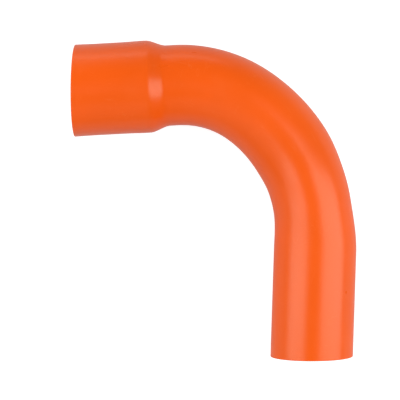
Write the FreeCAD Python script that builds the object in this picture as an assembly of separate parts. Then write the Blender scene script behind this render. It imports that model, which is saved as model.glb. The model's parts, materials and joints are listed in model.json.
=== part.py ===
"""Belled conduit elbow: one rigid uPVC tube, hot bent through 95 degrees.

One end is belled into a socket that takes the next conduit. The other end stays a plain
spigot. The tube narrows a little at the neck behind the bell and goes slightly oval where it
bends, flatter in the plane of the bend and wider across it. Both ends are sawn a few degrees
out of square.

Frame: the elbow lies flat, +Z up. The origin is the centre of the socket's mouth. The
centreline leaves it along +X, stays in the plane z = 0 and turns clockwise towards -Y.

The tube is one piece of plastic. It is stored as three solids that meet face to face, because
a hollow that turns a corner needs its walls in simple lengths: socket, bend and spigot.
"""
import FreeCAD, Part
import math
import os

from FreeCAD import Vector

# Conduit, in millimetres
TUBE_RADIUS = 25.0           # outside of the 50 mm conduit
TUBE_WALL = 3.0
NECK_RADIUS = 24.4           # outside, just behind the bell

# Socket
SOCKET_BORE_RADIUS = 25.15   # 0.15 mm of room round the next conduit
SOCKET_WALL = 2.6            # thinned by belling
SOCKET_DEPTH = 45.0          # straight bore, from the mouth to the shoulder
SHOULDER_LENGTH = 12.0       # the bell's taper, and the stop for the next conduit
NECK_LENGTH = 4.7

# Bend: (radius of the centreline, degrees turned), tightest beside the neck
BEND_ARCS = ((71.0, 38.0), (92.0, 46.0), (144.0, 11.0))
# Outside of the bent tube: (degrees turned, half-width in the plane, half-width across it)
BEND_SECTIONS = (
    (0.0, NECK_RADIUS, NECK_RADIUS),
    (38.0, 24.25, 25.5),
    (61.0, 24.45, 25.4),
    (75.0, 23.75, 26.0),
    (84.0, 23.7, 26.0),
    (95.0, TUBE_RADIUS, TUBE_RADIUS),
)
WALL_SHIFT = 0.3             # the bore's centre moves outwards: thin outer wall, thick inner one
SECTION_GAP = 4.0            # about this far along the centreline between two sections of the bend

# Spigot and cut ends
SPIGOT_LENGTH = 64.0
SOCKET_SKEW = 3.8            # degrees; the mouth is set back on the outside of the bend
SPIGOT_SKEW = 2.5            # degrees; the spigot is shorter on the outside of the bend
EDGE_BREAK = 0.3             # scraped arris on the cut ends
LEAD_IN = 0.8                # chamfer inside the socket's mouth

# Derived
SOCKET_RADIUS = SOCKET_BORE_RADIUS + SOCKET_WALL
SHOULDER_END = SOCKET_DEPTH + SHOULDER_LENGTH
NECK_END = SHOULDER_END + NECK_LENGTH
TOTAL_TURN = sum(turned for _, turned in BEND_ARCS)
SPARE = 6.0                  # extra length that the skewed cuts take off
UP = Vector(0, 0, 1)
ORIGIN = Vector(0, 0, 0)


def ease(t):
    """Smooth step from 0 to 1, level at both ends."""
    return t * t * (3 - 2 * t)


def along(turn):
    """Direction of travel once the centreline has turned this many degrees."""
    return Vector(math.cos(math.radians(turn)), -math.sin(math.radians(turn)), 0)


def outwards(turn):
    """Direction from the centreline to the outside of the bend, in its plane."""
    return Vector(math.sin(math.radians(turn)), math.cos(math.radians(turn)), 0)


def centre(turn):
    """Point of the centreline where it has turned this many degrees."""
    point, done = Vector(NECK_END, 0, 0), 0.0
    for radius, arc in BEND_ARCS:
        reached = min(turn, done + arc)
        point += (outwards(reached) - outwards(done)) * radius
        done = reached
    return point


def half_widths(turn):
    """Outer half-widths of the bent tube there: in the plane of the bend, and across it."""
    for (start, *before), (end, *after) in zip(BEND_SECTIONS, BEND_SECTIONS[1:]):
        if turn <= end:
            share = ease((turn - start) / (end - start))
            return [a + (b - a) * share for a, b in zip(before, after)]


def ring(turn, inset, shift):
    """Closed oval section of the bend: inset from the outer skin, its centre shifted outwards."""
    in_plane, across = (half - inset for half in half_widths(turn))
    middle = centre(turn) + outwards(turn) * shift
    oval = Part.Circle(ORIGIN, UP, 1.0).toBSpline()
    for number, pole in enumerate(oval.getPoles(), start=1):
        oval.setPole(number, middle + outwards(turn) * pole.x * in_plane + UP * pole.y * across)
    return Part.Wire(oval.toShape())


def section_turns():
    """How far the centreline has turned at each section, evenly spaced along every arc."""
    turns = [0.0]
    for radius, arc in BEND_ARCS:
        start = turns[-1]
        count = round(radius * math.radians(arc) / SECTION_GAP)
        turns += [start + arc * (i + 1) / count for i in range(count)]
    return turns


def bend_core(inset, most_shift):
    """Solid through the bend's oval sections, from the neck to the spigot."""
    rings = [ring(turn, inset, most_shift * math.sin(math.pi * turn / TOTAL_TURN) ** 2)
             for turn in section_turns()]
    return Part.makeLoft(rings, True)


def taper(start_x, start_radius, end_x, end_radius):
    """Smooth S-shaped profile of the shoulder, level where it meets the socket and the neck."""
    third = (end_x - start_x) / 3
    curve = Part.BezierCurve()
    curve.setPoles([
        Vector(start_x, start_radius, 0),
        Vector(start_x + third, start_radius, 0),
        Vector(end_x - third, end_radius, 0),
        Vector(end_x, end_radius, 0),
    ])
    return curve.toShape()


def half_space(point, normal):
    """Large block on the far side of a cutting plane, to be cut away."""
    size = 4 * SOCKET_RADIUS
    block = Part.makeBox(size, size, size, Vector(-size / 2, -size / 2, 0))
    block.Placement = FreeCAD.Placement(point, FreeCAD.Rotation(UP, normal))
    return block


def edges_on(solid, point, normal, radius):
    """Edges of a cut end that lie on its plane, at about this distance from its centre."""
    def on_rim(edge):
        ends = [edge.valueAt(edge.FirstParameter + (edge.LastParameter - edge.FirstParameter) * t)
                for t in (0.0, 0.3, 0.6)]
        flat = all(abs((end - point).dot(normal)) < 0.01 for end in ends)
        return flat and all(abs((end - point).Length - radius) < 0.3 for end in ends)

    return [edge for edge in solid.Edges if on_rim(edge)]


def make_socket():
    """Belled socket with its shoulder and neck, turned about the X axis, its mouth cut askew."""
    neck_bore = NECK_RADIUS - TUBE_WALL
    outer = [
        Part.makeLine(Vector(-SPARE, SOCKET_RADIUS, 0), Vector(SOCKET_DEPTH, SOCKET_RADIUS, 0)),
        taper(SOCKET_DEPTH, SOCKET_RADIUS, SHOULDER_END, NECK_RADIUS),
        Part.makeLine(Vector(SHOULDER_END, NECK_RADIUS, 0), Vector(NECK_END, NECK_RADIUS, 0)),
    ]
    inner = [
        Part.makeLine(Vector(NECK_END, neck_bore, 0), Vector(SHOULDER_END, neck_bore, 0)),
        taper(SHOULDER_END, neck_bore, SOCKET_DEPTH, SOCKET_BORE_RADIUS),
        Part.makeLine(
            Vector(SOCKET_DEPTH, SOCKET_BORE_RADIUS, 0), Vector(-SPARE, SOCKET_BORE_RADIUS, 0)),
    ]
    ends = [
        Part.makeLine(Vector(NECK_END, NECK_RADIUS, 0), Vector(NECK_END, neck_bore, 0)),
        Part.makeLine(Vector(-SPARE, SOCKET_BORE_RADIUS, 0), Vector(-SPARE, SOCKET_RADIUS, 0)),
    ]
    profile = Part.Face(Part.Wire([*outer, ends[0], *inner, ends[1]]))
    bell = profile.revolve(ORIGIN, Vector(1, 0, 0), 360)
    mouth = -along(SOCKET_SKEW)
    bell = bell.cut(half_space(ORIGIN, mouth))
    bell = bell.makeChamfer(EDGE_BREAK, edges_on(bell, ORIGIN, mouth, SOCKET_RADIUS))
    return bell.makeChamfer(LEAD_IN, edges_on(bell, ORIGIN, mouth, SOCKET_BORE_RADIUS))


def make_bend():
    """Oval, hot-bent length of the tube, between the neck and the spigot."""
    return bend_core(0.0, 0.0).cut(bend_core(TUBE_WALL, WALL_SHIFT))


def make_spigot():
    """Plain round end of the tube, sawn a little askew."""
    start, direction = centre(TOTAL_TURN), along(TOTAL_TURN)
    length = SPIGOT_LENGTH + SPARE
    tube = Part.makeCylinder(TUBE_RADIUS, length, start, direction)
    tube = tube.cut(Part.makeCylinder(TUBE_RADIUS - TUBE_WALL, length, start, direction))
    end, facing = start + direction * SPIGOT_LENGTH, along(TOTAL_TURN - SPIGOT_SKEW)
    tube = tube.cut(half_space(end, facing))
    rims = [rim for radius in (TUBE_RADIUS, TUBE_RADIUS - TUBE_WALL)
            for rim in edges_on(tube, end, facing, radius)]
    return tube.makeChamfer(EDGE_BREAK, rims)


def main():
    os.makedirs("parts", exist_ok=True)
    for name, make in (("socket", make_socket), ("bend", make_bend), ("spigot", make_spigot)):
        shape = make()
        shape.exportStep(f"parts/{name}.step")
        box = shape.BoundBox
        print(f"{name}: {len(shape.Solids)} solid, valid {shape.isValid()}, {shape.Volume:.0f} mm3, "
              f"x {box.XMin:.2f} to {box.XMax:.2f}, y {box.YMin:.2f} to {box.YMax:.2f}, "
              f"z {box.ZMin:.2f} to {box.ZMax:.2f}")


main()
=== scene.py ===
"""Rigid PVC conduit elbow: one seamless belled and bent tube, laid on a plain pale table."""
import json
import math

import bpy
from bpy.props import FloatProperty, FloatVectorProperty, IntProperty, PointerProperty
from mathutils import Euler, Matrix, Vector


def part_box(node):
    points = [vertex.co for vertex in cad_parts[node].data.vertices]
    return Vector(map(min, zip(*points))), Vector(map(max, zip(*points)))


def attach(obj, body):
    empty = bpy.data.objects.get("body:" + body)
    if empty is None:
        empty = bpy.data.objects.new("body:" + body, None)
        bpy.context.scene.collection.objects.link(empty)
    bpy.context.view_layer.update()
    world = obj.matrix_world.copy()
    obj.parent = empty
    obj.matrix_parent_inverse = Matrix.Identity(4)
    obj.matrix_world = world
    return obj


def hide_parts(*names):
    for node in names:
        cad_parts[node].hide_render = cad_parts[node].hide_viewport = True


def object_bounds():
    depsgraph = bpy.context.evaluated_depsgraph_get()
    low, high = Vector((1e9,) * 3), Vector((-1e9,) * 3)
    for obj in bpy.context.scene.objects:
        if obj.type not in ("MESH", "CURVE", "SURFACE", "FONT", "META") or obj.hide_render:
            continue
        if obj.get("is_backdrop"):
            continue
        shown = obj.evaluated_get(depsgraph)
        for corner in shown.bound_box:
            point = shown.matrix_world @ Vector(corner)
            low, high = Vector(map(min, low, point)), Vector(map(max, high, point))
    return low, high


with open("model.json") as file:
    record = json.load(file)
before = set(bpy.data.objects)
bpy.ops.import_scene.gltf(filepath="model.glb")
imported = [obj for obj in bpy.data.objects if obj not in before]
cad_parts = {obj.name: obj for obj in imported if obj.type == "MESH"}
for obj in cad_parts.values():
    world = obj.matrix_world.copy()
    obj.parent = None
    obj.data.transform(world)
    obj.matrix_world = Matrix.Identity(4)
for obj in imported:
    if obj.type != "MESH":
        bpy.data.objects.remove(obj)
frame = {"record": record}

bl_info = {
    "name": "Conduit elbow",
    "version": (1, 0, 0),
    "blender": (4, 5, 0),
    "location": "View3D > Sidebar > Conduit",
    "description": "Builds a belled conduit elbow, its plastic and a plain studio round it",
    "category": "Add Mesh",
}

MM = 0.001
CAD_BOX = [list(corner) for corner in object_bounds()]
NODES = ("socket", "bend", "spigot")
MOUNTS = {mount["name"]: mount for mount in frame["record"]["mounts"]}


def mount_radius(name):
    """Radius of a round mount, in metres."""
    return MOUNTS[name]["dims"]["r_mm"] * MM


# Sizes that the frame gives
TUBE_RADIUS = mount_radius("spigot")
TUBE_WALL = TUBE_RADIUS - mount_radius("cable_way")
BORE_RADIUS = mount_radius("socket")
SOCKET_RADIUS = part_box("socket")[1].z
NECK_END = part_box("socket")[1].x

# The bent length: degrees turned, half-width in the plane of the bend and across it
NECK_RADIUS = 24.4 * MM
BEND_SECTIONS = (
    (0.0, NECK_RADIUS, NECK_RADIUS),
    (38.0, 24.25 * MM, 25.5 * MM),
    (61.0, 24.45 * MM, 25.4 * MM),
    (75.0, 23.75 * MM, 26.0 * MM),
    (84.0, 23.7 * MM, 26.0 * MM),
    (95.0, TUBE_RADIUS, TUBE_RADIUS),
)

# Places along the bell, as shares of the socket's depth
FLARE_END = 0.3
ROLL_START, ROLL_TOP = 0.65, 0.97

# The bell's swelling is gone by this share of the shoulder
ROLL_END = 0.35

# A skewed end fades into the straight tube over this share of it
SKEW_FADE = 0.6

# How an arris is rounded by two facets
ARRIS_MOST, ARRIS_LEAST = 0.7, 0.3

# Share of the bend's flats that goes on along the straight ends
STRAIGHT_FLATS = 0.25

SKIN, SAWN, BORE = 0, 1, 2
ZONE_NAMES = {SKIN: "Skin", SAWN: "Sawn", BORE: "Bore"}

# A Mix node's colour sockets, which share their names with its number and vector sockets
MIX_A, MIX_B, MIX_RESULT = 6, 7, 2

PVC_IOR = 1.54

# Seeds of the plastic's patterns, apart from one another
SEEDS = {"broad": 3.0, "scratch": 11.0, "break": 21.0, "rub": 31.0, "drift": 41.0, "peel": 51.0,
         "wander": 61.0, "grain": 71.0}

# Width of the broad streaks, and how far all lines are drawn out along the tube
BROAD_PITCH, LINE_DRAW = 9 * MM, 0.012

# Scratches, one row for each direction: turn, and how fine they are across and along
SCRATCHES = (
    ((0.15, 0.0, 0.0), (260, 260, 16)),
    ((0.0, 1.35, 0.4), (240, 240, 20)),
    ((0.9, 0.0, 0.3), (300, 300, 24)),
)

# Half-width of a scratch, as a share of its noise
SCRATCH_WIDTH = 0.012

# Middle of the saw blade, in the plane of the sawn end
BLADE_MIDDLE = (0.11, 0.06, 0.0)

# Depth of a scratch in the skin and in the bore, and of the saw's arcs and torn grain
SKIN_SCRATCH, BORE_SCRATCH = 0.004 * MM, 0.006 * MM
SAW_ARC_DEPTH, SAW_GRAIN_DEPTH = 0.02 * MM, 0.03 * MM
SAW_ARC_PITCH = 0.9 * MM


# ---------------------------------------------------------------------------------------------
# Sizes and colours
# ---------------------------------------------------------------------------------------------

class ElbowSizes(bpy.types.PropertyGroup):
    """Sizes of the tube."""
    socket_depth: FloatProperty(
        name="Socket depth", description="Straight bore from the mouth to the shoulder",
        default=45 * MM, unit="LENGTH")
    shoulder_length: FloatProperty(
        name="Shoulder length", description="Length of the bell's taper",
        default=12 * MM, unit="LENGTH")
    bend_radii: FloatVectorProperty(
        name="Bend radii", description="Radius of the centreline in each of its three arcs",
        default=(71 * MM, 92 * MM, 144 * MM), size=3, unit="LENGTH")
    bend_turns: FloatVectorProperty(
        name="Bend turns", description="How far each of the three arcs turns",
        default=tuple(math.radians(turn) for turn in (38, 46, 11)), size=3, unit="ROTATION")
    spigot_length: FloatProperty(
        name="Spigot length", description="Straight length of the plain end",
        default=64 * MM, unit="LENGTH")
    socket_skew: FloatProperty(
        name="Socket skew", description="How far the mouth is sawn out of square",
        default=math.radians(3.8), unit="ROTATION")
    spigot_skew: FloatProperty(
        name="Spigot skew", description="How far the plain end is sawn out of square",
        default=math.radians(2.5), unit="ROTATION")
    edge_break: FloatProperty(
        name="Edge break", description="Scraped arris on the sawn ends",
        default=0.3 * MM, unit="LENGTH")
    lead_in: FloatProperty(
        name="Lead-in", description="Chamfer inside the socket's mouth",
        default=0.8 * MM, unit="LENGTH")
    wall_shift: FloatProperty(
        name="Wall shift", description="How far the bore moves outwards in the bend",
        default=0.3 * MM, unit="LENGTH")
    bell_roll: FloatProperty(
        name="Bell roll", description="Slight swelling of the bell just before its shoulder",
        default=0.25 * MM, unit="LENGTH")
    mouth_flare: FloatProperty(
        name="Mouth flare", description="Slight opening of the bell at its mouth",
        default=0.15 * MM, unit="LENGTH")
    shoulder_set: FloatProperty(
        name="Shoulder set", description="Length of the taper across the bend, as a share",
        default=0.8, min=0.1, max=1, subtype="FACTOR")
    waviness: FloatProperty(
        name="Waviness", description="Slow unevenness of the hot-bent skin",
        default=0.06 * MM, unit="LENGTH")
    flutes: FloatProperty(
        name="Flutes", description="Faint flats that run along the stretched bend",
        default=0.24 * MM, unit="LENGTH")
    saw_wander: FloatProperty(
        name="Saw wander", description="Unevenness of the sawn ends",
        default=0.1 * MM, unit="LENGTH")
    facets: IntProperty(
        name="Facets", description="Facets round the tube", default=144, min=24)
    seed: IntProperty(
        name="Seed", description="Seed of the unevenness", default=7)


class ElbowFinish(bpy.types.PropertyGroup):
    """Colours and gloss of the plastic."""
    orange: FloatVectorProperty(
        name="Orange", description="Colour of the plastic", subtype="COLOR",
        default=(0.855, 0.098, 0.0015), size=3, min=0, max=1)
    pale_orange: FloatVectorProperty(
        name="Pale orange", description="Colour where the plastic is sawn, scuffed or stretched",
        default=(0.95, 0.22, 0.06), size=3, min=0, max=1)
    roughness: FloatProperty(
        name="Skin roughness", description="Roughness of the outer skin",
        default=0.31, min=0, max=1, subtype="FACTOR")
    bore_roughness: FloatProperty(
        name="Bore roughness", description="Roughness of the bore",
        default=0.4, min=0, max=1, subtype="FACTOR")
    sawn_roughness: FloatProperty(
        name="Sawn roughness", description="Roughness of the sawn ends",
        default=0.55, min=0, max=1, subtype="FACTOR")
    shine: FloatProperty(
        name="Shine", description="Strength of the plastic's reflections",
        default=0.33, min=0, max=1, subtype="FACTOR")
    shine_colour: FloatVectorProperty(
        name="Shine colour", description="Tint of the plastic's reflections", subtype="COLOR",
        default=(1, 1, 0.84), size=3, min=0, max=1)
    line_pitch: FloatProperty(
        name="Line pitch", description="Distance between the extrusion lines",
        default=1.1 * MM, unit="LENGTH")
    line_height: FloatProperty(
        name="Line height", description="Height of the extrusion lines",
        default=0.004 * MM, unit="LENGTH")
    peel_height: FloatProperty(
        name="Peel height", description="Height of the skin's faint orange peel",
        default=0.004 * MM, unit="LENGTH")
    scuffs: FloatProperty(
        name="Scuffs", description="How strong the marks of handling are",
        default=0.4, min=0, max=1, subtype="FACTOR")


class ElbowStudio(bpy.types.PropertyGroup):
    """Camera and lights."""
    camera_place: FloatVectorProperty(
        name="Camera place", description="Place of the camera, which looks straight down",
        default=(72.3 * MM, -70.6 * MM, 761.5 * MM), size=3, unit="LENGTH")
    camera_turn: FloatProperty(
        name="Camera turn", description="How far the camera is turned about its own axis",
        default=-0.055, unit="ROTATION")
    focal_length: FloatProperty(
        name="Focal length", description="Lens, in millimetres on a 36 mm sensor",
        default=112.5)
    table_colour: FloatVectorProperty(
        name="Table colour", description="Colour of the table", subtype="COLOR",
        default=(0.5, 0.5, 0.5), size=3, min=0, max=1)
    table_glow: FloatProperty(
        name="Table glow", description="Light that comes up through the table",
        default=0.11, min=0)
    table_lift: FloatProperty(
        name="Table lift", description="How much brighter the table looks than it lights",
        default=0.68, min=0)
    wall_brightness: FloatProperty(
        name="Wall brightness", description="Brightness of the wall behind the table",
        default=0.9, min=0)
    room_light: FloatProperty(
        name="Room light", description="Light from the room round the table",
        default=0.19, min=0)


# ---------------------------------------------------------------------------------------------
# Node trees written as formulas
# ---------------------------------------------------------------------------------------------

class Field:
    """A value in a node tree, with the arithmetic that makes further nodes."""

    def __init__(self, tree, socket):
        self.tree = tree
        self.socket = socket

    def maths(self, operation, *others):
        """A Math node on this value and the others."""
        node = self.tree.nodes.new("ShaderNodeMath")
        node.operation = operation
        for socket, value in zip(node.inputs, (self, *others)):
            feed(self.tree, socket, value)
        return Field(self.tree, node.outputs[0])

    def __add__(self, other):
        return self.maths("ADD", other)

    __radd__ = __add__

    def __sub__(self, other):
        return self.maths("SUBTRACT", other)

    def __mul__(self, other):
        return self.maths("MULTIPLY", other)

    def __truediv__(self, other):
        return self.maths("DIVIDE", other)

    def __neg__(self):
        return self.maths("MULTIPLY", -1.0)

    def sin(self):
        return self.maths("SINE")

    def cos(self):
        return self.maths("COSINE")

    def tan(self):
        return self.maths("TANGENT")

    def parts(self):
        """The three numbers of a vector."""
        node = self.tree.nodes.new("ShaderNodeSeparateXYZ")
        feed(self.tree, node.inputs[0], self)
        return [Field(self.tree, output) for output in node.outputs]


def feed(tree, socket, value):
    """Links a field to a socket, or sets the socket to a plain value."""
    if isinstance(value, Field):
        tree.links.new(value.socket, socket)
    else:
        socket.default_value = value


def add_node(tree, kind, inputs=(), **settings):
    """A node with its settings and inputs; inputs go by name or number."""
    node = tree.nodes.new(kind)
    for name, value in settings.items():
        setattr(node, name, value)
    for name, value in dict(inputs).items():
        feed(tree, node.inputs[name], value)
    return node


def output(node, name=0):
    """A node's output as a field."""
    return Field(node.id_data, node.outputs[name])


def vector(tree, x, y, z):
    """Three numbers as a vector."""
    return output(add_node(tree, "ShaderNodeCombineXYZ", {0: x, 1: y, 2: z}))


def ramp(value, start, end, low, high, smooth=False):
    """value taken from start..end to low..high, level outside that range."""
    node = add_node(
        value.tree, "ShaderNodeMapRange",
        {"Value": value, "From Min": start, "From Max": end, "To Min": low, "To Max": high},
        interpolation_type="SMOOTHSTEP" if smooth else "LINEAR", clamp=True)
    return output(node, "Result")


def noise(tree, where, scale, detail=2.0, roughness=0.5, seed=0.0):
    """Noise from 0 to 1 that is always the same for the same seed."""
    node = add_node(tree, "ShaderNodeTexNoise",
                    {"Vector": where, "W": seed, "Scale": scale, "Detail": detail,
                     "Roughness": roughness}, noise_dimensions="4D")
    return output(node, "Fac")


def new_tree(name, kind, inputs=(), outputs=()):
    """A node tree with its interface; returns the tree and its inputs as fields."""
    tree = bpy.data.node_groups.new(name, kind)
    for label, socket_type in inputs:
        tree.interface.new_socket(label, in_out="INPUT", socket_type=socket_type)
    for label, socket_type in outputs:
        tree.interface.new_socket(label, in_out="OUTPUT", socket_type=socket_type)
    entry = tree.nodes.new("NodeGroupInput")
    return tree, {label: output(entry, label) for label, _ in inputs}


def finish_tree(tree, **results):
    """Links the results to the tree's outputs, whose names have spaces for underscores."""
    add_node(tree, "NodeGroupOutput",
             {name.replace("_", " "): value for name, value in results.items()})
    return tree


# ---------------------------------------------------------------------------------------------
# The tube
# ---------------------------------------------------------------------------------------------

def bend_arc_tree():
    """Node group for one arc of the centreline: how far it has turned, and how far it has moved."""
    tree, given = new_tree(
        "Bend arc", "GeometryNodeTree",
        inputs=(("Travelled", "NodeSocketFloat"), ("Start", "NodeSocketFloat"),
                ("Radius", "NodeSocketFloat"), ("Turn", "NodeSocketFloat"),
                ("Heading", "NodeSocketFloat")),
        outputs=(("Turned", "NodeSocketFloat"), ("Moved", "NodeSocketVector")))
    radius, heading = given["Radius"], given["Heading"]
    end = given["Start"] + radius * given["Turn"]
    turned = ramp(given["Travelled"], given["Start"], end, 0.0, given["Turn"])
    reached = heading + turned
    moved = vector(tree, radius * (reached.sin() - heading.sin()),
                   radius * (reached.cos() - heading.cos()), 0.0)
    return finish_tree(tree, Turned=turned, Moved=moved)


def wall_loop(given, total):
    """Stretches of one loop round the wall's section, as (zone, divisions, distance, depth).

    The loop starts at the socket's outer arris and goes along the skin, round the spigot's sawn
    end, back through the bore and round the mouth. Distance is along the tube, and depth goes
    from 0 on the skin to 1 on the bore.
    """
    arris, lead = given["Edge Break"], given["Lead-in"]
    thin, thick = arris / given["Socket Wall"], arris / given["Wall"]
    lead_depth = lead / given["Socket Wall"]
    strip = arris               # a narrow row beside each arris keeps it crisp
    most, least = ARRIS_MOST, ARRIS_LEAST
    shoulder = given["Shoulder Length"] + given["Neck Length"]
    bent = total - given["Socket Depth"] - shoulder - given["Spigot Length"]
    near = given["Socket Depth"] - arris - strip
    far = given["Spigot Length"] - arris - strip
    back = given["Socket Depth"] - lead - strip
    return (
        (SKIN, 1, strip, 0.0),
        (SKIN, 22, near, 0.0),
        (SKIN, 22, shoulder, 0.0),
        (SKIN, 88, bent, 0.0),
        (SKIN, 24, far, 0.0),
        (SKIN, 1, strip, 0.0),
        (SKIN, 1, arris * most, thick * least),
        (SKIN, 1, arris * least, thick * most),
        (SAWN, 8, 0.0, -(thick * 2) + 1.0),
        (BORE, 1, -(arris * least), thick * most),
        (BORE, 1, -(arris * most), thick * least),
        (BORE, 1, -strip, 0.0),
        (BORE, 18, -far, 0.0),
        (BORE, 66, -bent, 0.0),
        (BORE, 18, -shoulder, 0.0),
        (BORE, 16, -back, 0.0),
        (BORE, 1, -strip, 0.0),
        (SAWN, 3, -lead, -lead_depth),
        (SAWN, 6, 0.0, lead_depth + thin - 1.0),
        (SKIN, 1, arris * least, -(thin * most)),
        (SKIN, 1, arris * most, -(thin * least)),
    )


def tube_tree():
    """Geometry nodes that roll a flat sheet into the elbow's closed wall."""
    lengths = ("Tube Radius", "Wall", "Neck Radius", "Bore Radius", "Socket Wall",
               "Socket Depth", "Shoulder Length", "Neck Length", "Spigot Length",
               "Edge Break", "Lead-in", "Wall Shift", "Waviness", "Saw Wander",
               "Bell Roll", "Mouth Flare", "Shoulder Set", "Flutes")
    tree, given = new_tree(
        "Conduit elbow", "GeometryNodeTree",
        inputs=(*((name, "NodeSocketFloat") for name in lengths),
                ("Bend Radii", "NodeSocketVector"), ("Bend Turns", "NodeSocketVector"),
                ("Socket Skew", "NodeSocketFloat"), ("Spigot Skew", "NodeSocketFloat"),
                ("Facets", "NodeSocketInt"), ("Seed", "NodeSocketInt"),
                *((name, "NodeSocketMaterial") for name in ZONE_NAMES.values())),
        outputs=(("Geometry", "NodeSocketGeometry"),))

    # The centreline's lengths
    radii, turns = given["Bend Radii"].parts(), given["Bend Turns"].parts()
    neck_end = given["Socket Depth"] + given["Shoulder Length"] + given["Neck Length"]
    starts, headings = [neck_end], [0.0]
    for radius, turn in zip(radii, turns):
        starts.append(starts[-1] + radius * turn)
        headings.append(headings[-1] + turn)
    spigot_start, whole_turn = starts.pop(), headings.pop()
    total = spigot_start + given["Spigot Length"]

    # The flat sheet: one side follows the wall's loop, and the other goes round the tube
    loop = wall_loop(given, total)
    steps = sum(divisions for _, divisions, _, _ in loop)
    sheet = add_node(tree, "GeometryNodeMeshGrid", {
        "Size X": float(steps), "Size Y": 1.0, "Vertices X": steps + 1,
        "Vertices Y": given["Facets"] + 1})
    place = output(add_node(tree, "GeometryNodeInputPosition")).parts()
    step, around = place[0] + steps / 2, (-place[1] + 0.5) * math.tau

    # Where each point of the loop is, along the tube and through its wall
    travelled = given["Edge Break"]
    depth, zone, unrolled, done = 0.0, 0.0, 0.0, 0
    for kind, divisions, distance, deeper in loop:
        first, last = float(done), float(done + divisions)
        done += divisions
        length = 0.0
        if isinstance(distance, Field):
            travelled += ramp(step, first, last, 0.0, distance)
            length += distance.maths("ABSOLUTE")
        if isinstance(deeper, Field):
            depth += ramp(step, first, last, 0.0, deeper)
            length += deeper.maths("ABSOLUTE") * given["Wall"]
        unrolled += ramp(step, first, last, 0.0, length)
        if kind != SKIN:
            inside = step.maths("GREATER_THAN", first) * step.maths("LESS_THAN", last)
            zone += inside * float(kind)

    # Half-widths of the skin: the bell, its shoulder and the oval bend
    depth_end, shoulder = given["Socket Depth"], given["Shoulder Length"]
    necked = ramp(travelled, depth_end, depth_end + shoulder, 0.0, 1.0, smooth=True)
    necked_across = ramp(travelled, depth_end, depth_end + shoulder * given["Shoulder Set"],
                         0.0, 1.0, smooth=True)
    turned, moved = 0.0, vector(tree, 0.0, 0.0, 0.0)
    arc_tree = bend_arc_tree()
    for radius, turn, start, heading in zip(radii, turns, starts, headings):
        arc = add_node(tree, "GeometryNodeGroup", {
            "Travelled": travelled, "Start": start, "Radius": radius, "Turn": turn,
            "Heading": heading}, node_tree=arc_tree)
        turned += output(arc, "Turned")
        moved = output(add_node(tree, "ShaderNodeVectorMath", {0: moved, 1: output(arc, "Moved")}))
    socket_radius = given["Bore Radius"] + given["Socket Wall"]
    roll, roll_top = given["Bell Roll"], depth_end * ROLL_TOP
    risen = ramp(travelled, depth_end * ROLL_START, roll_top, 0.0, roll, smooth=True)
    fallen = ramp(travelled, roll_top, depth_end + shoulder * ROLL_END, 0.0, roll, smooth=True)
    flared = ramp(travelled, 0.0, depth_end * FLARE_END, given["Mouth Flare"], 0.0, smooth=True)
    bell = socket_radius + (risen - fallen + flared)
    narrowing = given["Neck Radius"] - socket_radius
    in_plane, across = bell + narrowing * necked, bell + narrowing * necked_across
    for before, after in zip(BEND_SECTIONS, BEND_SECTIONS[1:]):
        first, last = math.radians(before[0]), math.radians(after[0])
        in_plane += ramp(turned, first, last, 0.0, after[1] - before[1], smooth=True)
        across += ramp(turned, first, last, 0.0, after[2] - before[2], smooth=True)
    wall = given["Socket Wall"] + (given["Wall"] - given["Socket Wall"]) * necked

    # Slow unevenness of the skin, faint flats along the bend, and unevenness of the sawn ends
    bowed = (turned / whole_turn * math.pi).sin()
    bent = bowed * bowed
    radius = given["Tube Radius"]

    def uneven(seed_shift, scale, along=1.0):
        """Slow noise round 0 over the skin; along below 1 draws it out lengthwise."""
        spot = vector(tree, around.cos() * radius, around.sin() * radius, travelled * along)
        return noise(tree, spot, scale, detail=1.0, seed=given["Seed"] + seed_shift) - 0.5

    swell = uneven(0.0, 28.0) * given["Waviness"] * 2.0
    swell += uneven(9.0, 75.0, along=0.12) * given["Flutes"] * (bent + STRAIGHT_FLATS)
    in_plane, across = in_plane + swell, across + swell

    # The section there, the bore a little further out in the bend
    sideways = (in_plane - depth * wall) * around.cos() + given["Wall Shift"] * depth * bent
    upwards = (across - depth * wall) * around.sin()

    # The sawn ends: skewed, and fading into the straight tube behind them
    at_mouth = ramp(travelled, 0.0, depth_end * SKEW_FADE, 1.0, 0.0, smooth=True)
    fade_start = total - given["Spigot Length"] * SKEW_FADE
    at_end = ramp(travelled, fade_start, total, 0.0, 1.0, smooth=True)
    skewed = (sideways * given["Socket Skew"].tan() * at_mouth
              - sideways * given["Spigot Skew"].tan() * at_end)
    skewed += uneven(5.0, 60.0) * given["Saw Wander"] * (at_mouth + at_end)

    # Into space
    ahead = (travelled - spigot_start).maths("MAXIMUM", 0.0) + skewed
    moved_x, moved_y, _ = moved.parts()
    x = (travelled.maths("MINIMUM", neck_end) + moved_x + turned.sin() * sideways
         + turned.cos() * ahead)
    y = moved_y + turned.cos() * sideways - turned.sin() * ahead
    rolled = vector(tree, x, y, upwards)

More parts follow.
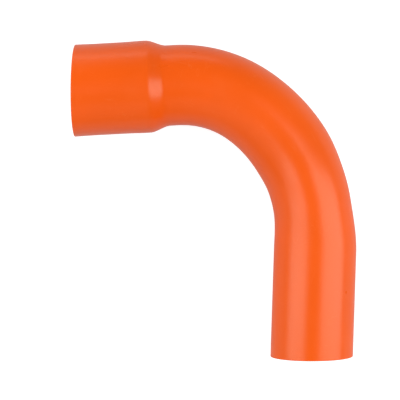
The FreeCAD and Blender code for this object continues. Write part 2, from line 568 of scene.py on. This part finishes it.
    # Keep what the plastic follows, then roll the sheet up and close it
    geometry = output(sheet, "Mesh")
    kept = (
        ("tube", "FLOAT_VECTOR", "POINT", vector(tree, sideways, upwards, travelled)),
        ("stretch", "FLOAT", "POINT", bowed * around.cos()),
        ("depth", "FLOAT", "POINT", depth),
        ("zone", "FLOAT", "FACE", zone),
        ("UVMap", "FLOAT2", "CORNER",
         vector(tree, around * given["Tube Radius"], unrolled, 0.0)),
    )
    for name, data_type, domain, value in kept:
        geometry = output(add_node(
            tree, "GeometryNodeStoreNamedAttribute",
            {"Geometry": geometry, "Name": name, "Value": value},
            data_type=data_type, domain=domain))
    for kind, settings in (("GeometryNodeSetPosition", {"Position": rolled}),
                           ("GeometryNodeMergeByDistance", {"Distance": 0.001 * MM}),
                           ("GeometryNodeSetShadeSmooth", {}),
                           ("GeometryNodeRealizeInstances", {})):
        geometry = output(add_node(tree, kind, {"Geometry": geometry, **settings}))
    for number, name in ZONE_NAMES.items():
        here = add_node(tree, "GeometryNodeInputNamedAttribute", {"Name": "zone"},
                        data_type="FLOAT")
        chosen = output(here).maths("COMPARE", float(number), 0.5)
        geometry = output(add_node(tree, "GeometryNodeSetMaterial", {
            "Geometry": geometry, "Selection": chosen, "Material": given[name]}))
    return finish_tree(tree, Geometry=geometry)


def plain_mesh(name, tree, inputs):
    """The mesh that a geometry tree makes from these inputs, as a new object with no modifier."""
    carrier = bpy.data.objects.new(name + "_carrier", bpy.data.meshes.new(name + "_carrier"))
    bpy.context.scene.collection.objects.link(carrier)
    modifier = carrier.modifiers.new("Elbow", "NODES")
    modifier.node_group = tree
    identifiers = {item.name: item.identifier for item in tree.interface.items_tree
                   if item.in_out == "INPUT"}
    for label, value in inputs.items():
        modifier[identifiers[label]] = value
    evaluated = carrier.evaluated_get(bpy.context.evaluated_depsgraph_get())
    mesh = bpy.data.meshes.new_from_object(evaluated)
    mesh.name = name
    mesh.materials.pop(index=0)     # the sheet's own empty slot
    bpy.data.objects.remove(carrier)
    piece = bpy.data.objects.new(name, mesh)
    bpy.context.scene.collection.objects.link(piece)
    return piece


# ---------------------------------------------------------------------------------------------
# The plastic
# ---------------------------------------------------------------------------------------------

def stretched(tree, where, scale, turn=(0, 0, 0)):
    """Coordinates turned and then scaled."""
    turned = output(add_node(tree, "ShaderNodeMapping", {"Vector": where, "Rotation": turn}))
    return output(add_node(tree, "ShaderNodeMapping", {"Vector": turned, "Scale": scale}))


def extrusion_lines_tree():
    """Fine lines that the die leaves along the tube, as a height in metres."""
    tree, given = new_tree(
        "Extrusion lines", "ShaderNodeTree",
        inputs=(("Where", "NodeSocketVector"), ("Pitch", "NodeSocketFloat"),
                ("Height", "NodeSocketFloat")),
        outputs=(("Height", "NodeSocketFloat"), ("Streak", "NodeSocketFloat")))
    along = stretched(tree, given["Where"], (1, 1, LINE_DRAW))
    fine = noise(tree, along, given["Pitch"].maths("POWER", -1.0), detail=3.0, roughness=0.6)
    broad = noise(tree, along, 1 / BROAD_PITCH, detail=1.0, seed=SEEDS["broad"])
    height = (fine + broad * 2.0 - 1.5) * given["Height"]
    return finish_tree(tree, Height=height, Streak=ramp(broad, 0.3, 0.7, 0.0, 1.0))


def scuffs_tree():
    """Scratches and rubbed patches from handling, as a mask from 0 to 1."""
    tree, given = new_tree(
        "Handling scuffs", "ShaderNodeTree",
        inputs=(("Where", "NodeSocketVector"), ("Amount", "NodeSocketFloat")),
        outputs=(("Scuff", "NodeSocketFloat"), ("Rub", "NodeSocketFloat")))
    scratches = None
    for number, (turn, scale) in enumerate(SCRATCHES):
        line = noise(tree, stretched(tree, given["Where"], scale, turn), 1.0,
                     detail=1.0, seed=SEEDS["scratch"] + number)
        thin = ramp((line - 0.5).maths("ABSOLUTE"), 0.0, SCRATCH_WIDTH, 1.0, 0.0)
        gaps = noise(tree, given["Where"], 70.0, seed=SEEDS["break"] + number)
        here = thin * ramp(gaps, 0.56, 0.68, 0.0, 1.0)
        scratches = here if scratches is None else scratches.maths("MAXIMUM", here)
    patch = noise(tree, given["Where"], 38.0, detail=4.0, roughness=0.62, seed=SEEDS["rub"])
    rub = ramp(patch, 0.5, 0.72, 0.0, 1.0, smooth=True)
    return finish_tree(tree, Scuff=scratches * given["Amount"], Rub=rub * given["Amount"])


def plastic(name, finish, roughness, lines, scuffs, look):
    """uPVC with extrusion lines and scuffs.

    look(tree, shared) adds what is special to the surface: it gets the shared fields and
    returns (how pale, how much rougher, extra height in metres).
    """
    material = bpy.data.materials.new(name)
    material.use_nodes = True
    tree = material.node_tree
    shader = tree.nodes["Principled BSDF"]
    shader.inputs["IOR"].default_value = PVC_IOR
    shader.inputs["Specular IOR Level"].default_value = finish.shine
    shader.inputs["Specular Tint"].default_value = (*finish.shine_colour, 1)

    where = output(add_node(tree, "ShaderNodeAttribute", attribute_name="tube"), "Vector")
    lined = add_node(tree, "ShaderNodeGroup", {
        "Where": where, "Pitch": finish.line_pitch, "Height": finish.line_height},
        node_tree=lines)
    scuffed = add_node(tree, "ShaderNodeGroup", {"Where": where, "Amount": finish.scuffs},
                       node_tree=scuffs)
    shared = {
        "where": where,
        "streak": output(lined, "Streak"),
        "scuff": output(scuffed, "Scuff"),
        "rub": output(scuffed, "Rub"),
        "drift": noise(tree, where, 22.0, detail=3.0, seed=SEEDS["drift"]),
        "peel": noise(tree, where, 420.0, seed=SEEDS["peel"]),
    }
    pale, rougher, height = look(tree, shared)

    mixed = add_node(tree, "ShaderNodeMix", data_type="RGBA")
    feed(tree, mixed.inputs["Factor"], pale)
    feed(tree, mixed.inputs[MIX_A], (*finish.orange, 1))
    feed(tree, mixed.inputs[MIX_B], (*finish.pale_orange, 1))
    shaded = add_node(tree, "ShaderNodeHueSaturation", {
        "Value": ramp(shared["drift"], 0.3, 0.7, 0.965, 1.03),
        "Color": output(mixed, MIX_RESULT)})
    feed(tree, shader.inputs["Base Color"], output(shaded))
    feed(tree, shader.inputs["Roughness"], (rougher + roughness).maths("MINIMUM", 1.0))
    bump = add_node(tree, "ShaderNodeBump", {
        "Strength": 1.0, "Distance": 1.0,
        "Height": output(lined, "Height") + shared["peel"] * finish.peel_height + height})
    feed(tree, shader.inputs["Normal"], output(bump))
    return material


def attribute(tree, name):
    """A number that the tube keeps at each of its points."""
    return output(add_node(tree, "ShaderNodeAttribute", attribute_name=name), "Fac")


def skin_look(tree, shared):
    """Satin skin: paler where the bend stretched it, on scraped edges and on scratches."""
    edge = ramp(attribute(tree, "depth"), 0.0, 0.05, 0.0, 1.0)
    stretch = ramp(attribute(tree, "stretch"), 0.2, 1.0, 0.0, 0.12, smooth=True)
    pale = edge * 0.7 + stretch + shared["scuff"] * 0.45 + shared["rub"] * 0.1
    rougher = (shared["scuff"] * 0.2 + shared["rub"] * 0.08 + edge * 0.25
               + (shared["streak"] - 0.5) * 0.05 + (shared["drift"] - 0.5) * 0.12)
    return pale, rougher, shared["scuff"] * -SKIN_SCRATCH


def bore_look(tree, shared):
    """Duller bore, rubbed lengthwise inside the socket."""
    edge = ramp(attribute(tree, "depth"), 0.95, 1.0, 1.0, 0.0)
    pale = edge * 0.5 + shared["scuff"] * 0.5 + shared["rub"] * 0.15 + shared["streak"] * 0.06
    rougher = shared["streak"] * 0.1 + shared["scuff"] * 0.15 + shared["rub"] * 0.1
    return pale, rougher, shared["scuff"] * -BORE_SCRATCH


def sawn_look(tree, shared):
    """Sawn end: shallow arcs from the blade, with a torn grain between them."""
    across = stretched(tree, shared["where"], (1, 1, 0))
    blade = output(add_node(tree, "ShaderNodeVectorMath", {
        0: across, 1: BLADE_MIDDLE}, operation="DISTANCE"), "Value")
    wander = noise(tree, across, 160.0, seed=SEEDS["wander"])
    arcs = (blade * (math.tau / SAW_ARC_PITCH) + wander * 5.0).sin() * 0.5 + 0.5
    grain = noise(tree, across, 2600.0, detail=3.0, roughness=0.7, seed=SEEDS["grain"])
    pale = arcs * 0.35 + grain * 0.4 + 0.25
    return pale, grain * 0.2 + arcs * 0.05, arcs * SAW_ARC_DEPTH + grain * SAW_GRAIN_DEPTH


# ---------------------------------------------------------------------------------------------
# Operators
# ---------------------------------------------------------------------------------------------

class CONDUIT_OT_elbow(bpy.types.Operator):
    """Make the belled and bent tube, and put its plastic on it"""
    bl_idname = "conduit.elbow"
    bl_label = "Conduit elbow"

    def execute(self, context):
        sizes, finish = context.scene.elbow_sizes, context.scene.elbow_finish
        effects = extrusion_lines_tree(), scuffs_tree()
        materials = {
            zone: plastic(name, finish, roughness, *effects, look)
            for zone, name, roughness, look in (
                ("Skin", "uPVC skin", finish.roughness, skin_look),
                ("Bore", "uPVC bore", finish.bore_roughness, bore_look),
                ("Sawn", "uPVC sawn end", finish.sawn_roughness, sawn_look))}
        piece = plain_mesh("conduit_elbow", tube_tree(), {
            "Tube Radius": TUBE_RADIUS, "Wall": TUBE_WALL, "Neck Radius": NECK_RADIUS,
            "Bore Radius": BORE_RADIUS, "Socket Wall": SOCKET_RADIUS - BORE_RADIUS,
            "Socket Depth": sizes.socket_depth, "Shoulder Length": sizes.shoulder_length,
            "Neck Length": NECK_END - sizes.socket_depth - sizes.shoulder_length,
            "Spigot Length": sizes.spigot_length, "Edge Break": sizes.edge_break,
            "Lead-in": sizes.lead_in, "Wall Shift": sizes.wall_shift,
            "Waviness": sizes.waviness, "Saw Wander": sizes.saw_wander,
            "Bell Roll": sizes.bell_roll, "Mouth Flare": sizes.mouth_flare,
            "Shoulder Set": sizes.shoulder_set, "Flutes": sizes.flutes,
            "Bend Radii": sizes.bend_radii[:], "Bend Turns": sizes.bend_turns[:],
            "Socket Skew": sizes.socket_skew, "Spigot Skew": sizes.spigot_skew,
            "Facets": sizes.facets, "Seed": sizes.seed, **materials})
        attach(piece, "root")
        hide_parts(*NODES)
        return {"FINISHED"}


def seen_directly(tree):
    """1 where a surface is looked at, 0 where it only lights or is reflected."""
    return output(add_node(tree, "ShaderNodeLightPath"), "Is Camera Ray")


TABLE_SIZE = 8.0
WHITE = (1, 1, 1, 1)

# Name, azimuth and elevation in degrees, distance, width and length in metres, radiance
SOFTBOXES = (
    ("softbox_right", -5, 41, 0.9, 1.05, 0.6, 3.9),
    ("softbox_left", 180, 41, 0.9, 0.9, 0.45, 4.0),
    ("softbox_far", 125, 13, 1.2, 0.53, 0.9, 2.6),
    ("softbox_low", 95, 6, 1.2, 0.24, 0.9, 1.8),
    ("softbox_fill", 240, 32, 1.2, 1.0, 1.2, 0.45),
)


def softbox(name, azimuth, elevation, distance, width, length, radiance):
    """Rectangular light that looks at the middle of the elbow.

    Azimuth 0 is towards +X and 90 towards +Y; width lies in the plane of elevation.
    """
    middle = sum((Vector(corner) for corner in CAD_BOX), Vector()) / 2
    middle.z = 0
    light = bpy.data.lights.new(name, "AREA")
    light.shape = "RECTANGLE"
    light.size, light.size_y = width, length
    light.energy = radiance * width * length * math.pi
    lamp = bpy.data.objects.new(name, light)
    turn, tilt = math.radians(azimuth), math.radians(elevation)
    lamp.location = middle + distance * Vector(
        (math.cos(turn) * math.cos(tilt), math.sin(turn) * math.cos(tilt), math.sin(tilt)))
    # the light shines along its own -Z; its X side lies in the vertical plane through it
    lamp.rotation_euler = Euler((0, math.pi / 2 - tilt, turn))
    bpy.context.scene.collection.objects.link(lamp)


class CONDUIT_OT_studio(bpy.types.Operator):
    """Set the table, the soft lights and the camera round the elbow"""
    bl_idname = "conduit.studio"
    bl_label = "Studio"

    def execute(self, context):
        studio, scene = context.scene.elbow_studio, context.scene

        bpy.ops.mesh.primitive_plane_add(size=TABLE_SIZE, location=(0, 0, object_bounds()[0].z))
        table = context.object
        table.name = "table"
        surface = bpy.data.materials.new("pale table")
        surface.use_nodes = True
        shader = surface.node_tree.nodes["Principled BSDF"]
        shader.inputs["Base Color"].default_value = (*studio.table_colour, 1)
        shader.inputs["Roughness"].default_value = 0.8
        shader.inputs["Specular IOR Level"].default_value = 0.1
        shader.inputs["Emission Color"].default_value = WHITE
        feed(surface.node_tree, shader.inputs["Emission Strength"],
             seen_directly(surface.node_tree) * studio.table_lift + studio.table_glow)
        table.data.materials.append(surface)
        table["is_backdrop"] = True

        for name, *place in SOFTBOXES:
            softbox(name, *place)

        world = bpy.data.worlds.new("room")
        world.use_nodes = True
        background = world.node_tree.nodes["Background"]
        background.inputs["Color"].default_value = WHITE
        feed(world.node_tree, background.inputs["Strength"],
             seen_directly(world.node_tree) * (studio.wall_brightness - studio.room_light)
             + studio.room_light)
        scene.world = world
        scene.view_settings.view_transform = "Standard"

        lens = bpy.data.cameras.new("camera")
        lens.lens = studio.focal_length
        camera = bpy.data.objects.new("camera", lens)
        camera.location = studio.camera_place
        camera.rotation_euler = (0, 0, studio.camera_turn)
        scene.collection.objects.link(camera)
        scene.camera = camera
        return {"FINISHED"}


class CONDUIT_PT_panel(bpy.types.Panel):
    """Lists what this add-on makes"""
    bl_idname = "CONDUIT_PT_panel"
    bl_label = "Conduit elbow"
    bl_space_type = "VIEW_3D"
    bl_region_type = "UI"
    bl_category = "Conduit"

    def draw(self, context):
        for operator in (CONDUIT_OT_elbow, CONDUIT_OT_studio):
            self.layout.operator(operator.bl_idname)
        for group in (context.scene.elbow_sizes, context.scene.elbow_finish,
                      context.scene.elbow_studio):
            box = self.layout.box()
            for name in group.__annotations__:
                box.prop(group, name)


GROUPS = {"elbow_sizes": ElbowSizes, "elbow_finish": ElbowFinish, "elbow_studio": ElbowStudio}
CLASSES = (*GROUPS.values(), CONDUIT_OT_elbow, CONDUIT_OT_studio, CONDUIT_PT_panel)


def register():
    """Add the classes and the scene's settings."""
    for cls in CLASSES:
        bpy.utils.register_class(cls)
    for name, group in GROUPS.items():
        setattr(bpy.types.Scene, name, PointerProperty(type=group))


def unregister():
    """Take the settings and the classes away again."""
    for name in GROUPS:
        delattr(bpy.types.Scene, name)
    for cls in reversed(CLASSES):
        bpy.utils.unregister_class(cls)


def main():
    """Make the elbow and its studio."""
    register()
    bpy.ops.conduit.elbow()
    bpy.ops.conduit.studio()


if __name__ == "__main__":
    main()
